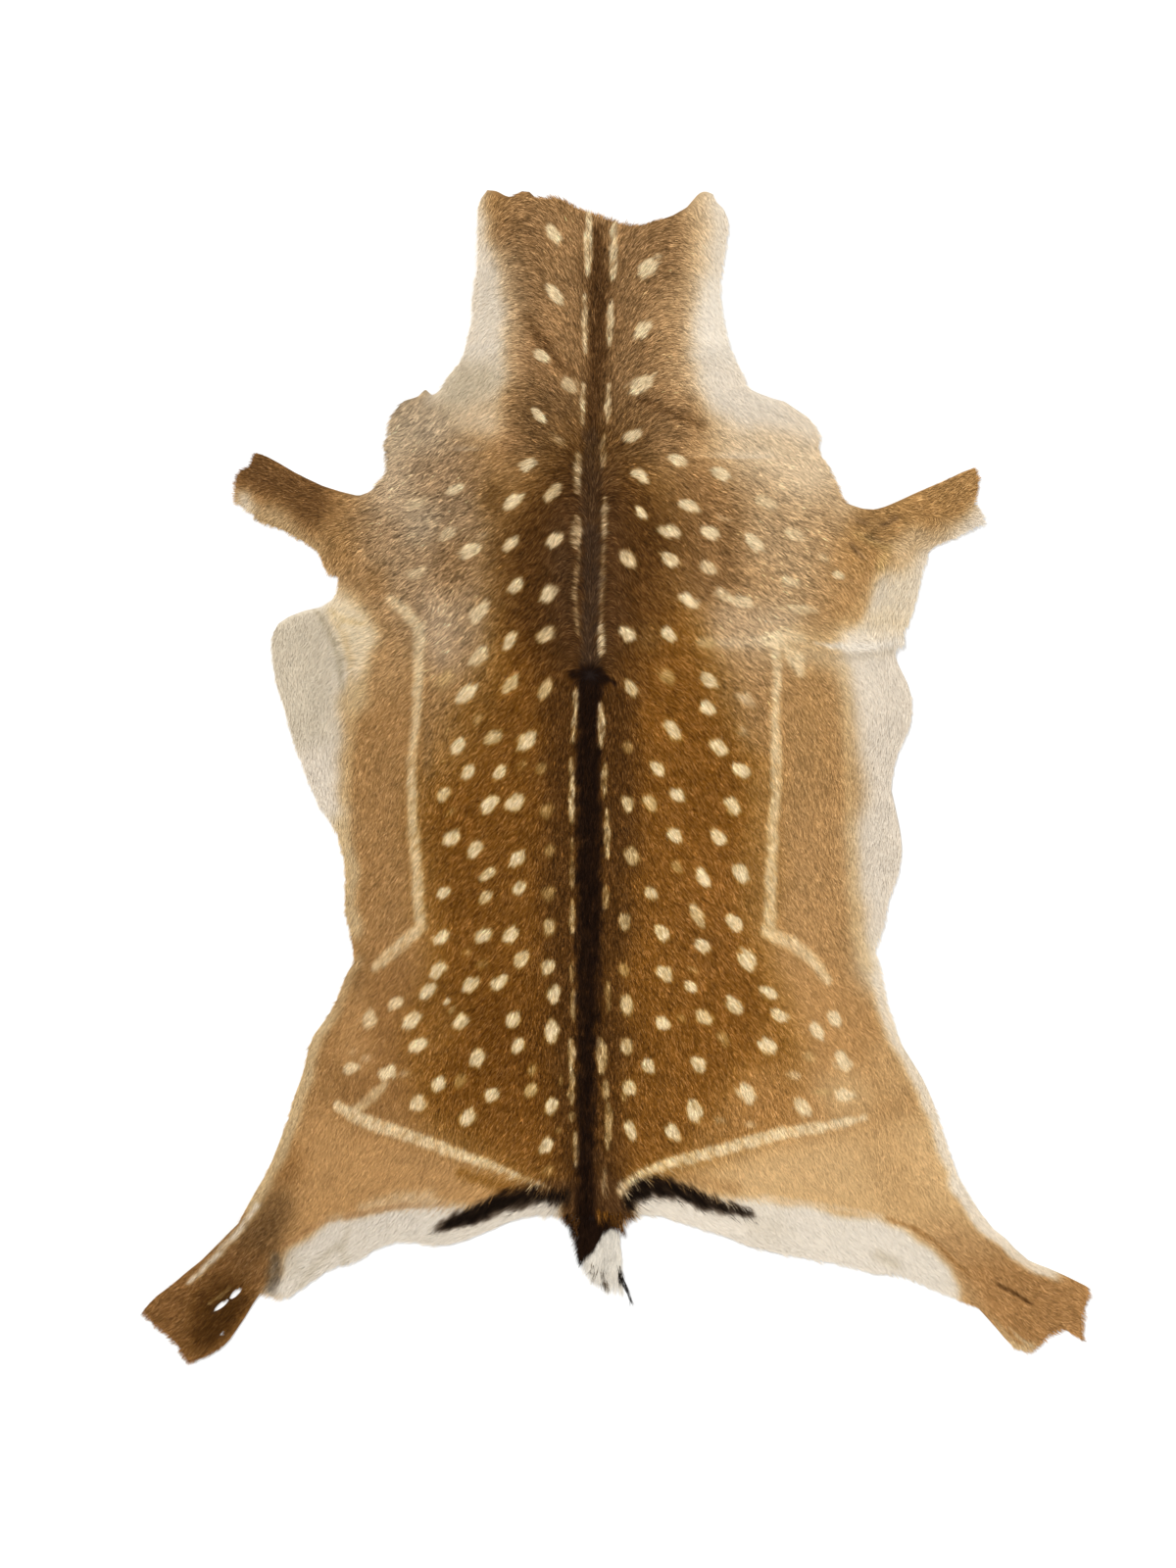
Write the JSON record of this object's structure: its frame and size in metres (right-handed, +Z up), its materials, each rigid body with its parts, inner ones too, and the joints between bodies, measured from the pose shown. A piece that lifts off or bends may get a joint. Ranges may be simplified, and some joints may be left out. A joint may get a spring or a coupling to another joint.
{
  "type": "fallow deer hide",
  "caption": "Whole spotted deer skin, tanned with its hair on and lying flat, with neck, four leg strips and a short brush of tail.",
  "frame": {"origin": "on the floor, under the middle of the hide's box", "axes": "+X to the hide's right as seen from above with the neck up, +Y towards the neck, +Z up from the floor"},
  "size_m": [0.965, 1.198, 0.0117],
  "materials": {
    "coat": "matt, spotted hair lying on the skin",
    "tail_hair": "matt, long dark and white hair"
  },
  "bodies": {
    "root": {"hide": "coat", "tail_brush": "tail_hair"}
  },
  "joints": []
}
